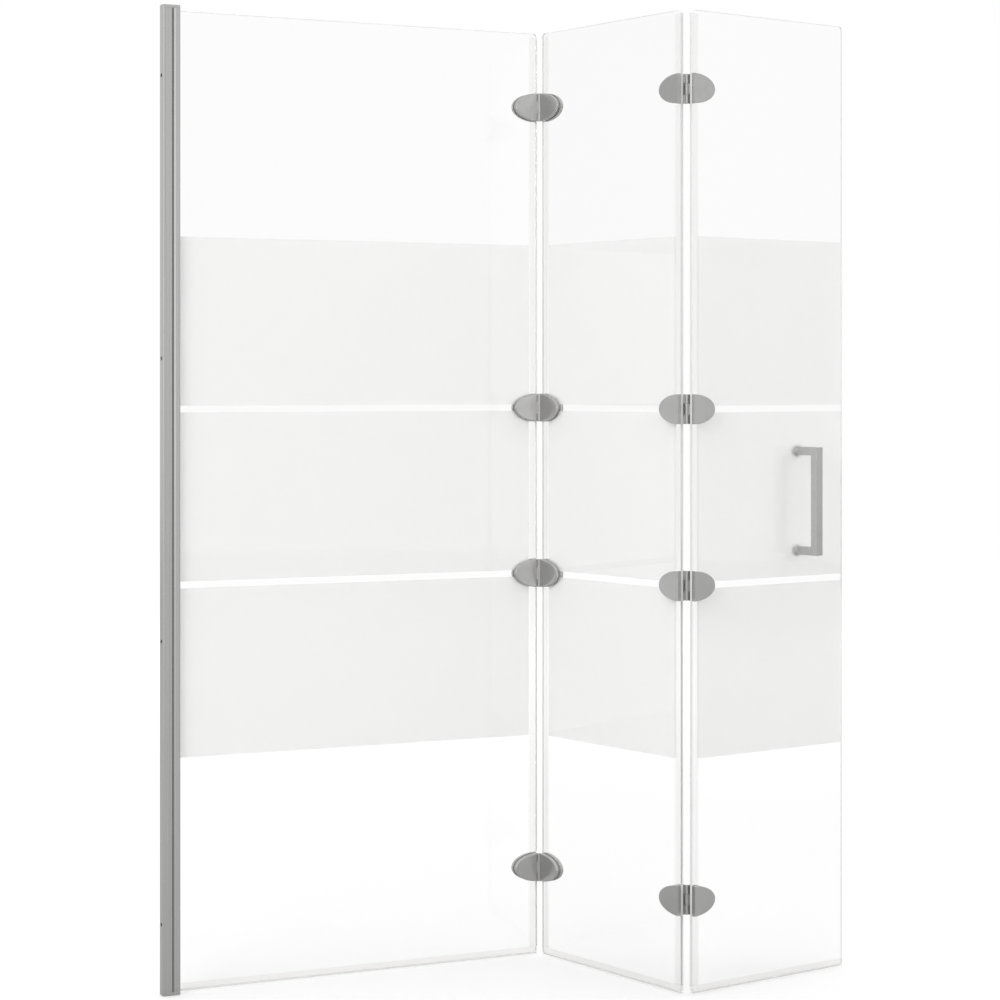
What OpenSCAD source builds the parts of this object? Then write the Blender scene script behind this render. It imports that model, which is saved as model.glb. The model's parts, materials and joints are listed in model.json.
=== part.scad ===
// Three-panel folding shower screen for a bath, shown half folded.
// X runs from the wall along the fixed panel, Y away from the bather's door side, Z up.
// The origin is on the wall, at the lower end of the wall profile and on the glass's middle plane.

/* [Screen] */
// Height of the wall profile
screen_h = 1400; // [1300:1:1600]
// Distance from the wall to the first fold's axis
fold_1_x = 600; // [450:1:900]
// Width of the middle panel, from the first fold's axis to the second's
middle_w = 300; // [200:1:400]
// Width of the end panel, from the second fold's axis to its free edge
end_w = 300; // [200:1:400]
// Angle by which the first fold is closed in the drawn pose
fold_1_rest = 77.5; // [0:0.5:170]
// Angle by which the second fold is closed in the drawn pose
fold_2_rest = 88.5; // [0:0.5:170]

/* [Glass] */
// Thickness of the toughened glass
glass_t = 5; // [4:0.5:8]
// Radius of the glass corners
glass_corner_r = 5; // [1:0.5:12]
// How far the glass top stays below the profile's top
glass_top_drop = 8; // [6:0.5:30]
// Height of the glass's lower edge
glass_foot = 6; // [5:0.5:20]
// How far the fixed glass starts from the wall
glass_wall_gap = 12.5; // [11.5:0.5:15]

/* [Frosted bands] */
// Distance from the glass top to the upper band
band_drop = 319; // [150:1:500]
// Height of one frosted band
band_h = 240; // [120:1:300]
// Height of the clear stripe between two bands
stripe_h = 9.5; // [4:0.5:30]
// Thickness of the printed layer
film_t = 0.2; // [0.1:0.05:0.5]

/* [Wall profile] */
// Depth of the wall profile, across the glass
profile_d = 14; // [13:0.5:24]
// Width of the wall channel, out from the wall
channel_w = 13.5; // [12:0.5:20]
// Wall thickness of the channel
channel_wall = 1.5; // [1:0.1:2]
// Width of the groove left between the channel and the glass profile
groove_w = 3.7; // [1:0.1:12]
// Width of the glass profile's head
head_w = 8.8; // [6:0.1:14]
// Distance from the wall to the glass profile's tongue
tongue_x = 6; // [5.5:0.1:8]
// Depth of the tongue's solid back, before the glass pocket
tongue_back = 5; // [4:0.1:5.4]
// Thickness of each glazing gasket
glazing_t = 1.2; // [0.8:0.1:1.5]
// Thickness of the end caps
cap_t = 4.5; // [2:0.5:5.5]
// Length of the plug that holds an end cap in the channel
cap_plug = 8; // [4:0.5:20]
// Radius of the channel's rounded corners
channel_corner_r = 1.4; // [0.4:0.1:2]
// Width of the bevel along the head of the glass profile
head_bevel_w = 2.8; // [0.4:0.1:4]
// Depth of the bevel along the head of the glass profile
head_bevel_d = 1; // [0.2:0.1:2]
// Radius of the wall screw holes
wall_hole_r = 2.75; // [2:0.05:4]
// Distance between the outer wall screw holes
wall_outer_pitch = 1200; // [800:1:1250]
// Distance between the inner wall screw holes
wall_inner_pitch = 400; // [200:1:700]
// Distance between the locking screws
lock_pitch = 550; // [300:1:600]
// Distance from the wall to the locking screws
lock_x = 8.5; // [8:0.1:9]
// Shank radius of the locking screws
lock_r = 1.9; // [1.2:0.1:2]
// Head radius of the locking screws
lock_head_r = 3.5; // [3:0.1:4]
// Head height of the locking screws
lock_head_h = 2; // [1:0.1:3]

/* [Seals] */
// Reach of the clip-on seals over the glass faces
seal_reach = 12.5; // [8:0.5:16]
// Thickness of the seal legs
seal_leg = 1; // [0.6:0.1:1.2]
// Thickness of the seal web beyond the glass edge
seal_web = 1.5; // [0.8:0.1:3]
// Half of the gap between two edge seals when a fold is straight
fold_half_gap = 0.3; // [0.2:0.05:1.5]
// Length of the wiping lips under the bottom seals
wiper_h = 2.5; // [1:0.5:3]
// Thickness of the wiping lips
wiper_t = 0.8; // [0.5:0.1:1]

/* [Hinges] */
// Height of the lowest hinge
hinge_low_z = 135; // [80:1:250]
// Distance from the glass top to the highest hinge
hinge_top_drop = 111; // [80:1:250]
// Reach of a hinge plate from the fold's axis
leaf_reach = 39.5; // [34:0.5:55]
// Height of a hinge plate
leaf_h = 42.5; // [38:0.5:60]
// Thickness of a hinge leaf
leaf_t = 4; // [3.5:0.1:6]
// Width of the bevel round a hinge plate's face
leaf_bevel = 1.3; // [0.5:0.1:2]
// Distance from the fold's axis to the straight side of a hinge leaf
leaf_edge = 2.8; // [2.7:0.1:4]
// Radius of the hinge barrel
barrel_r = 2.4; // [2:0.1:2.4]
// Height of the hinge barrel
barrel_h = 42; // [36:0.5:60]
// Height of the middle knuckle
knuckle_h = 15.4; // [10:0.1:20]
// Gap between knuckles
knuckle_gap = 0.3; // [0.2:0.05:0.6]
// Radius of the hinge pin
pin_r = 1.25; // [1:0.05:1.4]
// Thickness of the pads between the plates and the glass
pad_t = 1; // [0.8:0.1:1.5]
// Thickness of the clamp plates
clamp_t = 4.3; // [3:0.1:5]
// Wall thickness of the snap-on covers
cover_wall = 1.2; // [0.8:0.1:1.6]
// Distance from the fold's axis to the clamp screws
screw_u = 17; // [14:0.5:22]
// Distance between the two clamp screws of a hinge leaf
screw_pitch = 18; // [14:0.5:22]
// Shank radius of the clamp screws
screw_r = 2.45; // [1.9:0.05:2.5]
// Head radius of the clamp screws
screw_head_r = 4.4; // [3.6:0.1:4.6]
// Height of the clamp screws' sloped head
screw_head_h = 2; // [1.5:0.1:2.5]
// Radius of the holes through the glass
glass_hole_r = 4.5; // [4:0.1:5]

/* [Handle] */
// Side of the handle's square bar
bar_w = 12; // [10:0.5:16]
// Distance between the middles of the two posts
handle_pitch = 145; // [100:1:250]
// How far the handle stands out from the glass
handle_reach = 41; // [35:0.5:42]
// Height of the handle's middle
handle_z = 694; // [645:1:750]
// Distance from the free edge to the handle's middle
handle_edge = 88; // [40:1:120]
// Radius of the handle's outer corners
handle_corner_r = 2; // [0.5:0.1:4]
// Thickness of the washers under the handle
washer_t = 0.8; // [0.5:0.1:1.5]
// Radius of the round caps behind the glass
back_cap_r = 9; // [8.5:0.5:12]
// Thickness of the round caps behind the glass
back_cap_t = 4; // [3:0.1:5]
// Shank radius of the handle screws
handle_screw_r = 2.45; // [1.9:0.05:2.5]
// Length of the handle screws inside the posts
handle_thread = 14; // [8:0.5:25]

/* [Hidden] */

// Fits and clearances
slide_gap = 0.2;
thread_gap = 0.05;
pin_press_gap = 0.02;
pin_run_gap = 0.05;
hole_gap = 0.2;
plate_gap = 0.3;
cover_gap = 0.3;
cover_edge = 0.4;
lid_gap = 0.1;
pad_gap = 0.2;
trim_gap = 0.3;
cut_gap = 1;
over = 1;
round_fn = 48;
oval_steps = 28;
corner_steps = 4;

// Colours
alu_colour = [0.70, 0.70, 0.69];
chrome_colour = [0.66, 0.67, 0.68];
steel_colour = [0.55, 0.56, 0.58];
glass_colour = [0.93, 0.97, 0.96, 0.35];
frost_colour = [0.92, 0.92, 0.91, 0.8];
seal_colour = [0.85, 0.87, 0.87, 0.6];
rubber_colour = [0.25, 0.25, 0.26];

// Heights
glass_top = screen_h - glass_top_drop;
band_top = glass_top - band_drop;
band_pitch = band_h + stripe_h;
stripe_high_z = band_top - band_h - stripe_h / 2;
stripe_low_z = stripe_high_z - band_pitch;
hinge_zs = [hinge_low_z, stripe_low_z, stripe_high_z, glass_top - hinge_top_drop];

// Plan of a fold: the axis lies just in front of the closed leaf's face
pivot_off = plate_gap + leaf_t + pad_t;
glass_edge_u = fold_half_gap + seal_web;
seal_end_u = fold_half_gap + seal_reach;
bottom_seal_top = glass_foot - seal_web + seal_reach - wiper_h;
fold_1_y = -glass_t / 2 - pivot_off;
fold_2_y = 2 * pivot_off + glass_t;

// Hinge parts
pad_edge = leaf_edge + 2 * pad_gap;
clamp_inset = cover_wall + lid_gap;
clamp_edge = cover_edge + clamp_inset;
pad_inset = clamp_inset + pad_gap;
cover_h = pad_t + clamp_t + lid_gap + cover_wall - cover_gap;
outer_knuckle_h = (barrel_h - knuckle_h) / 2 - knuckle_gap;
screw_tip_y = plate_gap + 1.2;
screw_head_y = pivot_off + glass_t + pad_t + clamp_t;
collar_h = glass_t / 2 - slide_gap / 2;
collar_r = glass_hole_r - hole_gap;
screw_hole_r = screw_r + hole_gap;

// Wall profile
half_d = profile_d / 2;
tongue_half = half_d - channel_wall - slide_gap;
head_x = channel_w + groove_w;
mouth_x = head_x + head_w;
pocket_half = glass_t / 2 + glazing_t;
pocket_x = tongue_x + tongue_back;
profile_len = screen_h - 2 * cap_t;

// Handle, in the end panel's own plan
handle_x = end_w - handle_edge;
handle_front_y = -pivot_off - glass_t - handle_reach;
handle_foot_y = -pivot_off - glass_t - washer_t;
handle_top_z = handle_z + handle_pitch / 2 + bar_w / 2;
handle_hole_zs = [handle_z - handle_pitch / 2, handle_z + handle_pitch / 2];

// Points of an arc round a centre
function arc(centre, r, from, to) = [
    for (i = [0 : corner_steps])
        centre + r * [cos(from + (to - from) * i / corner_steps),
                      sin(from + (to - from) * i / corner_steps)]
];

// Places of the panels and of the fold edges.
// In a fold edge's own plan the axis is the origin, the panel runs along +X
// and the side that the fold closes on is -Y.
module in_middle() {
    translate([fold_1_x, fold_1_y, 0]) rotate([0, 0, -fold_1_rest]) children();
}

module in_end() {
    in_middle() translate([middle_w, fold_2_y, 0]) rotate([0, 0, fold_2_rest]) children();
}

module at_fixed_edge() {
    translate([fold_1_x, fold_1_y, 0]) mirror([1, 0, 0]) children();
}

module at_middle_near_edge() {
    in_middle() children();
}

module at_middle_far_edge() {
    in_middle() translate([middle_w, fold_2_y, 0]) rotate([0, 0, 180]) children();
}

module at_end_edge() {
    in_end() mirror([0, 1, 0]) children();
}

// One hinge part at each hinge height
module at_hinges() {
    for (z = hinge_zs) translate([0, 0, z]) children();
}

// Half oval with its straight side on the fold's axis
module half_oval(reach, half_h) {
    polygon([
        for (i = [0 : oval_steps])
            [reach * sin(180 * i / oval_steps), half_h * cos(180 * i / oval_steps)]
    ]);
}

// Half-oval plate: flat back on y = 0, thickness towards -Y, cut straight at x = edge
module oval_plate(edge, inset, thick, bevel) {
    reach = leaf_reach - inset;
    half_h = leaf_h / 2 - inset;
    difference() {
        rotate([90, 0, 0]) {
            linear_extrude(thick - bevel) half_oval(reach, half_h);
            if (bevel > 0)
                translate([0, 0, thick - bevel])
                    linear_extrude(bevel, scale = [1 - bevel / reach, 1 - bevel / half_h])
                        half_oval(reach, half_h);
        }
        translate([-over, -thick - over, -leaf_h / 2 - over])
            cube([edge + over, thick + 2 * over, leaf_h + 2 * over]);
    }
}

// Round bar or hole along +Y
module along_y(r, from, to) {
    translate([0, from, 0]) rotate([-90, 0, 0]) cylinder(h = to - from, r = r, $fn = round_fn);
}

// Both clamp screw places of one hinge leaf
module at_clamp_screws() {
    for (z = [-screw_pitch / 2, screw_pitch / 2]) translate([screw_u, 0, z]) children();
}

module knuckle(from, to) {
    translate([0, 0, from]) cylinder(h = to - from, r = barrel_r, $fn = round_fn);
    translate([0, plate_gap, from]) cube([leaf_edge + over, barrel_r - 2 * plate_gap, to - from]);
}

// Leaf on the side that the fold closes on, with two outer knuckles or one middle knuckle
module hinge_leaf(outer) {
    bore_r = pin_r + (outer ? pin_press_gap : pin_run_gap);
    difference() {
        union() {
            translate([0, pivot_off - pad_t, 0]) oval_plate(leaf_edge, 0, leaf_t, leaf_bevel);
            if (outer) {
                knuckle(barrel_h / 2 - outer_knuckle_h, barrel_h / 2);
                knuckle(-barrel_h / 2, -barrel_h / 2 + outer_knuckle_h);
            } else {
                knuckle(-knuckle_h / 2, knuckle_h / 2);
            }
        }
        translate([0, 0, -leaf_h]) cylinder(h = 2 * leaf_h, r = bore_r, $fn = round_fn);
        at_clamp_screws()
            along_y(screw_r + thread_gap, screw_tip_y - slide_gap, pivot_off + over);
    }
}

// Pads on both faces of the glass, each with a collar in both glass holes
module hinge_pads() {
    for (side = [0, 1])
        translate([0, pivot_off + side * glass_t, 0]) mirror([0, side, 0])
            difference() {
                union() {
                    oval_plate(pad_edge, pad_inset, pad_t, 0);
                    at_clamp_screws() along_y(collar_r, -pad_t / 2, collar_h);
                }
                at_clamp_screws() along_y(screw_hole_r, -pad_t - over, collar_h + over);
            }
}

module screw_cone(r_tip, r_head, h) {
    rotate([-90, 0, 0]) cylinder(h = h, r1 = r_tip, r2 = r_head, $fn = round_fn);
}

// Plate that the screws pull against the glass, from the side that the fold opens on
module clamp_plate() {
    difference() {
        translate([0, pivot_off + glass_t + pad_t, 0]) mirror([0, 1, 0])
            oval_plate(clamp_edge, clamp_inset, clamp_t, 0);
        at_clamp_screws() {
            along_y(screw_hole_r, pivot_off, screw_head_y + over);
            translate([0, screw_head_y - screw_head_h, 0])
                screw_cone(screw_hole_r, screw_head_r + hole_gap, screw_head_h);
        }
    }
}

// Countersunk clamp screws with a hexagon socket
module clamp_screws() {
    at_clamp_screws() difference() {
        union() {
            along_y(screw_r, screw_tip_y, screw_head_y - slide_gap - screw_head_h / 2);
            translate([0, screw_head_y - slide_gap - screw_head_h, 0])
                screw_cone(screw_r, screw_head_r, screw_head_h);
        }
        translate([0, screw_head_y - screw_head_h, 0]) rotate([-90, 0, 0])
            cylinder(h = screw_head_h + over, r = screw_r * 0.7, $fn = 6);
    }
}

// Snap-on shell over the clamp plate
module hinge_cover() {
    translate([0, pivot_off + glass_t + cover_gap, 0]) mirror([0, 1, 0])
        difference() {
            oval_plate(cover_edge, 0, cover_h, leaf_bevel);
            translate([0, over, 0])
                oval_plate(cover_edge + cover_wall, cover_wall, cover_h - cover_wall + over, 0);
        }
}

module hinge_pin() {
    cylinder(h = barrel_h - 2 * knuckle_gap, r = pin_r, center = true, $fn = round_fn);
}

// Clear U seal clipped over an upright glass edge, in pieces between the hinges
module edge_seal() {
    clear = leaf_h / 2 + cut_gap;
    starts = concat([bottom_seal_top + cut_gap], [for (z = hinge_zs) z + clear]);
    ends = concat([for (z = hinge_zs) z - clear], [glass_top - glass_corner_r]);
    for (i = [0 : len(starts) - 1])
        translate([0, 0, starts[i]]) linear_extrude(ends[i] - starts[i]) difference() {
            translate([fold_half_gap, pivot_off - seal_leg])
                square([seal_reach, glass_t + 2 * seal_leg]);
            translate([glass_edge_u, pivot_off]) square([seal_reach, glass_t]);
            seal_nose_cut(0);
            seal_nose_cut(1);
        }
}

// Bevel on each outer corner of an edge seal
module seal_nose_cut(side) {
    translate([fold_half_gap, pivot_off - seal_leg + side * (glass_t + 2 * seal_leg)])
        mirror([0, side]) polygon([[-over, -over], [seal_leg, -over], [seal_leg, 0],
                                   [0, seal_leg], [-over, seal_leg]]);
}

// Clear U seal under the glass, with two wiping lips; its length runs along X
module bottom_seal(from, to, glass_y) {
    web_z = glass_foot - seal_web;
    difference() {
        translate([from, glass_y - seal_leg, web_z])
            cube([to - from, glass_t + 2 * seal_leg, bottom_seal_top - web_z]);
        translate([from - over, glass_y, glass_foot])
            cube([to - from + 2 * over, glass_t, seal_reach]);
    }
    for (y = [glass_y - seal_leg, glass_y + glass_t + seal_leg - wiper_t])
        translate([from, y, web_z - wiper_h]) cube([to - from, wiper_t, wiper_h + over]);
}

// Upright glass sheet in the XZ plane from x = from to x = to, thickness towards +Y
module glass_sheet(from, to, glass_y, round_from) {
    h = glass_top - glass_foot;
    translate([0, glass_y + glass_t, 0]) rotate([90, 0, 0]) linear_extrude(glass_t) difference() {
        translate([from, glass_foot]) square([to - from, h]);
        for (z = [glass_foot, glass_top], x = round_from ? [from, to] : [to])
            translate([x, z]) mirror([x == to ? 1 : 0, 0]) mirror([0, z == glass_top ? 1 : 0])
                corner_cut();
    }
}

module corner_cut() {
    difference() {
        translate([-over, -over]) square(glass_corner_r + over);
        translate([glass_corner_r, glass_corner_r]) circle(r = glass_corner_r, $fn = round_fn);
    }
}

// Holes through the glass for one hinged edge
module hinge_glass_holes() {
    at_hinges() at_clamp_screws()
        along_y(glass_hole_r, pivot_off - over, pivot_off + glass_t + over);
}

// Three bands of the printed layer, on the glass face y = face_y, growing towards +Y
module bands(from, to, face_y) {
    translate([0, face_y + film_t, 0]) rotate([90, 0, 0]) linear_extrude(film_t) difference() {
        for (i = [1 : 3])
            translate([from, band_top - i * band_h - (i - 1) * stripe_h])
                square([to - from, band_h]);
        children();
    }
}

// Room for the hinge pads in the printed layer
module pad_shadow() {
    for (z = hinge_zs) translate([0, z])
        half_oval(leaf_reach - pad_inset + trim_gap, leaf_h / 2 - pad_inset + trim_gap);
}

// Wall profile

module wall_channel() {
    color(alu_colour) difference() {
        translate([0, 0, cap_t]) linear_extrude(profile_len) difference() {
            polygon(concat(
                arc([channel_corner_r, -half_d + channel_corner_r], channel_corner_r, 180, 270),
                [[channel_w, -half_d], [channel_w, half_d]],
                arc([channel_corner_r, half_d - channel_corner_r], channel_corner_r, 90, 180)
            ));
            translate([channel_wall, -half_d + channel_wall])
                square([channel_w, profile_d - 2 * channel_wall]);
        }
        for (pitch = [wall_outer_pitch, wall_inner_pitch], side = [-1, 1])
            translate([-over, 0, screen_h / 2 + side * pitch / 2]) rotate([0, 90, 0])
                cylinder(h = channel_wall + 2 * over, r = wall_hole_r, $fn = round_fn);
        at_lock_screws() along_y(lock_r + hole_gap, tongue_half, half_d + over);
    }
}

module at_lock_screws() {
    for (i = [-1 : 1]) translate([lock_x, 0, screen_h / 2 + i * lock_pitch]) children();
}

// Profile that holds the glass: its tongue slides in the channel, its head shows
module glass_profile() {
    color(alu_colour) difference() {
        translate([0, 0, cap_t]) linear_extrude(profile_len) difference() {
            union() {
                translate([tongue_x, -tongue_half])
                    square([head_x - tongue_x + over, 2 * tongue_half]);
                polygon([
                    [head_x, -half_d + head_bevel_d], [head_x + head_bevel_w, -half_d],
                    [mouth_x, -half_d], [mouth_x, half_d],
                    [head_x + head_bevel_w, half_d], [head_x, half_d - head_bevel_d]
                ]);
            }
            translate([pocket_x, -pocket_half])
                square([mouth_x - pocket_x + over, 2 * pocket_half]);
        }
        at_lock_screws() along_y(lock_r + thread_gap, 0, half_d);
    }
}

module glazing_gaskets() {
    color(rubber_colour) for (y = [-pocket_half, glass_t / 2])
        translate([glass_wall_gap + over, y, glass_foot])
            cube([mouth_x - glass_wall_gap - over, glazing_t, glass_top - glass_foot]);
}

// End cap, drawn as the lower one: plate over both profiles and a plug in the channel
module end_cap() {
    linear_extrude(cap_t) polygon(concat(
        arc([channel_corner_r, -half_d + channel_corner_r], channel_corner_r, 180, 270),
        [[mouth_x, -half_d], [mouth_x, half_d]],
        arc([channel_corner_r, half_d - channel_corner_r], channel_corner_r, 90, 180)
    ));
    translate([channel_wall + slide_gap, -tongue_half, cap_t - over])
        cube([tongue_x - channel_wall - 2 * slide_gap, 2 * tongue_half, cap_plug + over]);
}

module bottom_cap() {
    color(alu_colour) end_cap();
}

module top_cap() {
    color(alu_colour) translate([0, 0, screen_h]) mirror([0, 0, 1]) end_cap();
}

module profile_lock_screws() {
    color(steel_colour) at_lock_screws() difference() {
        union() {
            along_y(lock_r, slide_gap, half_d + over);
            along_y(lock_head_r, half_d, half_d + lock_head_h);
        }
        along_y_hex(lock_r * 0.8, half_d + lock_head_h / 3, half_d + lock_head_h + over);
    }
}

// Hexagon socket along +Y
module along_y_hex(r, from, to) {
    translate([0, from, 0]) rotate([-90, 0, 0]) cylinder(h = to - from, r = r, $fn = 6);
}

// Fixed panel

module fixed_glass() {
    color(glass_colour) difference() {
        glass_sheet(glass_wall_gap, fold_1_x - glass_edge_u, -glass_t / 2, false);
        at_fixed_edge() hinge_glass_holes();
    }
}

module fixed_frosted_bands() {
    color(frost_colour)
        bands(mouth_x + trim_gap, fold_1_x - seal_end_u - trim_gap, glass_t / 2)
            translate([fold_1_x, 0]) mirror([1, 0]) pad_shadow();
}

module fixed_bottom_seal() {
    color(seal_colour)
        bottom_seal(mouth_x + trim_gap, fold_1_x - glass_edge_u, -glass_t / 2);
}

module fixed_edge_seal() {
    color(seal_colour) at_fixed_edge() edge_seal();
}

module fixed_hinge_leaf(i) {
    color(chrome_colour) at_fixed_edge() translate([0, 0, hinge_zs[i]]) hinge_leaf(true);
}

module fixed_hinge_covers() {
    color(chrome_colour) at_fixed_edge() at_hinges() hinge_cover();
}

module fixed_clamp_plates() {
    color(steel_colour) at_fixed_edge() at_hinges() clamp_plate();
}

module fixed_hinge_pads() {
    color(rubber_colour) at_fixed_edge() at_hinges() hinge_pads();
}

module fixed_hinge_screws() {
    color(steel_colour) at_fixed_edge() at_hinges() clamp_screws();
}

module fold_1_pins() {
    color(steel_colour) at_fixed_edge() at_hinges() hinge_pin();
}

// Middle panel

module middle_glass() {
    color(glass_colour) difference() {
        in_middle() glass_sheet(glass_edge_u, middle_w - glass_edge_u, pivot_off, true);
        at_middle_near_edge() hinge_glass_holes();
        at_middle_far_edge() hinge_glass_holes();
    }
}

module middle_frosted_bands() {
    color(frost_colour) in_middle()
        bands(seal_end_u + trim_gap, middle_w - seal_end_u - trim_gap, pivot_off + glass_t) {
            union() {
                pad_shadow();
                translate([middle_w, 0]) mirror([1, 0]) pad_shadow();
            }
        }
}

module middle_bottom_seal() {
    color(seal_colour) in_middle()
        bottom_seal(glass_edge_u, middle_w - glass_edge_u, pivot_off);
}

module middle_near_edge_seal() {
    color(seal_colour) at_middle_near_edge() edge_seal();
}

module middle_far_edge_seal() {
    color(seal_colour) at_middle_far_edge() edge_seal();
}

module middle_near_hinge_leaf(i) {
    color(chrome_colour) at_middle_near_edge()
        translate([0, 0, hinge_zs[i]]) hinge_leaf(false);
}

module middle_far_hinge_leaf(i) {
    color(chrome_colour) at_middle_far_edge()
        translate([0, 0, hinge_zs[i]]) hinge_leaf(true);
}

module middle_near_hinge_covers() {
    color(chrome_colour) at_middle_near_edge() at_hinges() hinge_cover();
}

module middle_far_hinge_covers() {
    color(chrome_colour) at_middle_far_edge() at_hinges() hinge_cover();
}

module middle_near_clamp_plates() {
    color(steel_colour) at_middle_near_edge() at_hinges() clamp_plate();
}

module middle_far_clamp_plates() {
    color(steel_colour) at_middle_far_edge() at_hinges() clamp_plate();
}

module middle_near_hinge_pads() {
    color(rubber_colour) at_middle_near_edge() at_hinges() hinge_pads();
}

module middle_far_hinge_pads() {
    color(rubber_colour) at_middle_far_edge() at_hinges() hinge_pads();
}

module middle_near_hinge_screws() {
    color(steel_colour) at_middle_near_edge() at_hinges() clamp_screws();
}

module middle_far_hinge_screws() {
    color(steel_colour) at_middle_far_edge() at_hinges() clamp_screws();
}

module fold_2_pins() {
    color(steel_colour) at_middle_far_edge() at_hinges() hinge_pin();
}

// End panel

module end_glass() {
    color(glass_colour) difference() {
        in_end() glass_sheet(glass_edge_u, end_w, -pivot_off - glass_t, true);
        at_end_edge() hinge_glass_holes();
        in_end() at_handle_holes()
            along_y(glass_hole_r, -pivot_off - glass_t - over, -pivot_off + over);
    }
}

module end_frosted_bands() {
    color(frost_colour) in_end()
        bands(seal_end_u + trim_gap, end_w - trim_gap, -pivot_off) {
            union() {
                pad_shadow();
                for (z = handle_hole_zs)
                    translate([handle_x, z]) circle(r = back_cap_r + trim_gap, $fn = round_fn);
            }
        }
}

module end_bottom_seal() {
    color(seal_colour) in_end() bottom_seal(glass_edge_u, end_w, -pivot_off - glass_t);
}

module end_edge_seal() {
    color(seal_colour) at_end_edge() edge_seal();
}

module end_hinge_leaf(i) {
    color(chrome_colour) at_end_edge() translate([0, 0, hinge_zs[i]]) hinge_leaf(false);
}

module end_hinge_covers() {
    color(chrome_colour) at_end_edge() at_hinges() hinge_cover();
}

module end_clamp_plates() {
    color(steel_colour) at_end_edge() at_hinges() clamp_plate();
}

module end_hinge_pads() {
    color(rubber_colour) at_end_edge() at_hinges() hinge_pads();
}

module end_hinge_screws() {
    color(steel_colour) at_end_edge() at_hinges() clamp_screws();
}

// Pull handle

module at_handle_holes() {
    for (z = handle_hole_zs) translate([handle_x, 0, z]) children();
}

// Square bar bent into a bracket, with a tapped hole in each foot
module pull_handle() {
    r = handle_corner_r;
    front = handle_front_y;
    foot = handle_foot_y;
    half = handle_pitch / 2 + bar_w / 2;
    color(chrome_colour) in_end() difference() {
        translate([handle_x - bar_w / 2, 0, handle_z]) rotate([90, 0, 90])
            linear_extrude(bar_w) difference() {
                polygon(concat(
                    [[foot, half]],
                    arc([front + r, half - r], r, 90, 180),
                    arc([front + r, -half + r], r, 180, 270),
                    [[foot, -half]]
                ));
                translate([front + bar_w, -half + bar_w])
                    square([handle_reach, 2 * half - 2 * bar_w]);
            }
        at_handle_holes()
            along_y(handle_screw_r + thread_gap, foot - handle_thread - slide_gap, foot + over);
    }
}

// Clear washers on both faces of the glass, with collars in the glass holes
module handle_washers() {
    color(seal_colour) in_end() at_handle_holes() for (side = [0, 1])
        translate([0, -pivot_off - glass_t + side * glass_t, 0]) mirror([0, side, 0])
            difference() {
                union() {
                    along_y(bar_w / 2 - slide_gap, -washer_t, 0);
                    along_y(collar_r, -washer_t / 2, collar_h);
                }
                along_y(handle_screw_r + hole_gap, -washer_t - over, collar_h + over);
            }
}

module handle_back_caps() {
    from = -pivot_off + washer_t;
    color(chrome_colour) in_end() at_handle_holes() difference() {
        along_y(back_cap_r, from, from + back_cap_t);
        along_y(handle_screw_r + hole_gap, from - over, from + back_cap_t + over);
        translate([0, from + back_cap_t - screw_head_h, 0])
            screw_cone(handle_screw_r + hole_gap, screw_head_r + hole_gap, screw_head_h);
    }
}

module handle_screws() {
    head_y = -pivot_off + washer_t + back_cap_t - slide_gap;
    color(steel_colour) in_end() at_handle_holes() difference() {
        union() {
            along_y(handle_screw_r, handle_foot_y - handle_thread, head_y - screw_head_h / 2);
            translate([0, head_y - screw_head_h, 0])
                screw_cone(handle_screw_r, screw_head_r, screw_head_h);
        }
        along_y_hex(handle_screw_r * 0.7, head_y - screw_head_h * 0.8, head_y + over);
    }
}

wall_channel();
glass_profile();
glazing_gaskets();
top_cap();
bottom_cap();
profile_lock_screws();
fixed_glass();
fixed_frosted_bands();
fixed_bottom_seal();
fixed_edge_seal();
fixed_hinge_leaf(0);  // fixed_hinge_leaf_1
fixed_hinge_leaf(1);  // fixed_hinge_leaf_2
fixed_hinge_leaf(2);  // fixed_hinge_leaf_3
fixed_hinge_leaf(3);  // fixed_hinge_leaf_4
fixed_hinge_covers();
fixed_clamp_plates();
fixed_hinge_pads();
fixed_hinge_screws();
fold_1_pins();
middle_glass();
middle_frosted_bands();
middle_bottom_seal();
middle_near_edge_seal();
middle_far_edge_seal();
middle_near_hinge_leaf(0);  // middle_near_hinge_leaf_1
middle_near_hinge_leaf(1);  // middle_near_hinge_leaf_2
middle_near_hinge_leaf(2);  // middle_near_hinge_leaf_3
middle_near_hinge_leaf(3);  // middle_near_hinge_leaf_4
middle_far_hinge_leaf(0);  // middle_far_hinge_leaf_1
middle_far_hinge_leaf(1);  // middle_far_hinge_leaf_2
middle_far_hinge_leaf(2);  // middle_far_hinge_leaf_3
middle_far_hinge_leaf(3);  // middle_far_hinge_leaf_4
middle_near_hinge_covers();
middle_far_hinge_covers();
middle_near_clamp_plates();
middle_far_clamp_plates();
middle_near_hinge_pads();
middle_far_hinge_pads();
middle_near_hinge_screws();
middle_far_hinge_screws();
fold_2_pins();
end_glass();
end_frosted_bands();
end_bottom_seal();
end_edge_seal();
end_hinge_leaf(0);  // end_hinge_leaf_1
end_hinge_leaf(1);  // end_hinge_leaf_2
end_hinge_leaf(2);  // end_hinge_leaf_3
end_hinge_leaf(3);  // end_hinge_leaf_4
end_hinge_covers();
end_clamp_plates();
end_hinge_pads();
end_hinge_screws();
pull_handle();
handle_washers();
handle_back_caps();
handle_screws();
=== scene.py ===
"""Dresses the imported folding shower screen: profile, panes, frosting, seals, hinges, handle and stage."""

import json
import math

import bmesh
import bpy
from bpy.props import FloatProperty, FloatVectorProperty, IntProperty, PointerProperty
from bpy.types import Operator, Panel, PropertyGroup
from mathutils import Matrix, Vector


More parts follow.
